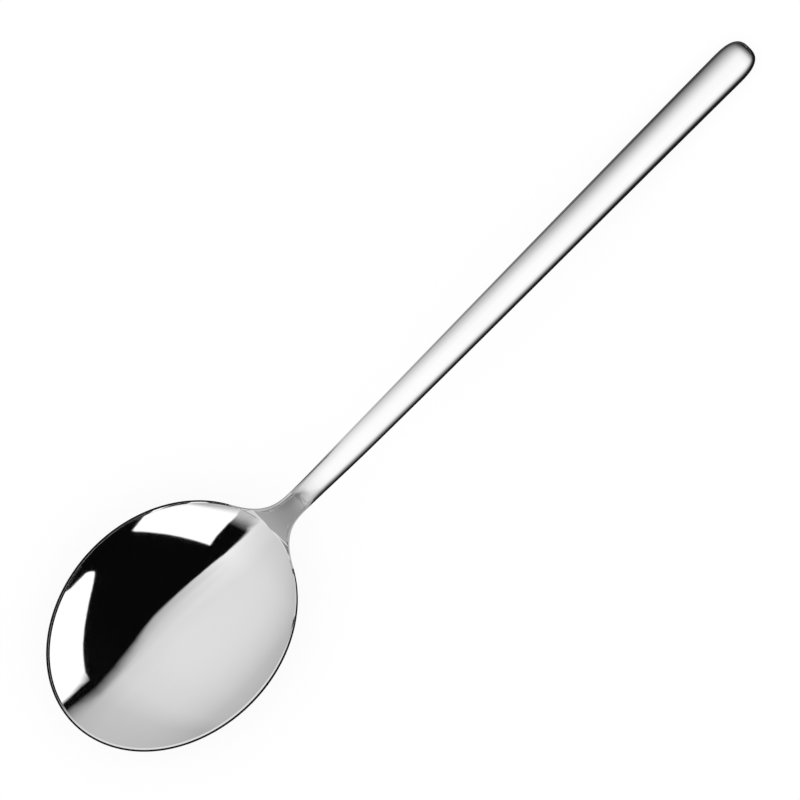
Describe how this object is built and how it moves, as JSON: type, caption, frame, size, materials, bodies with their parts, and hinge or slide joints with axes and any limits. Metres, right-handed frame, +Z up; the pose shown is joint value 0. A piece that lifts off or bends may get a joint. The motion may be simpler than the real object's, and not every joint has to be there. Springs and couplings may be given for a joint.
{
  "type": "soup spoon",
  "caption": "Round-bowl soup spoon in mirror-polished stainless steel with a narrow neck and a slim crowned handle that swells to a blunt rounded end.",
  "frame": {"origin": "middle of the small polished flat under the bowl's widest section, on which the bowl rests, at table height", "axes": "+X along the handle towards its rounded end, +Y across the bowl, +Z up out of the hollow"},
  "size_m": [0.1752, 0.0406, 0.0202],
  "materials": {
    "bowl_steel": "polished",
    "handle_steel": "polished",
    "weld_steel": "polished"
  },
  "bodies": {
    "root": {"bowl": "bowl_steel", "neck_weld": "weld_steel", "handle": "handle_steel"}
  },
  "joints": []
}
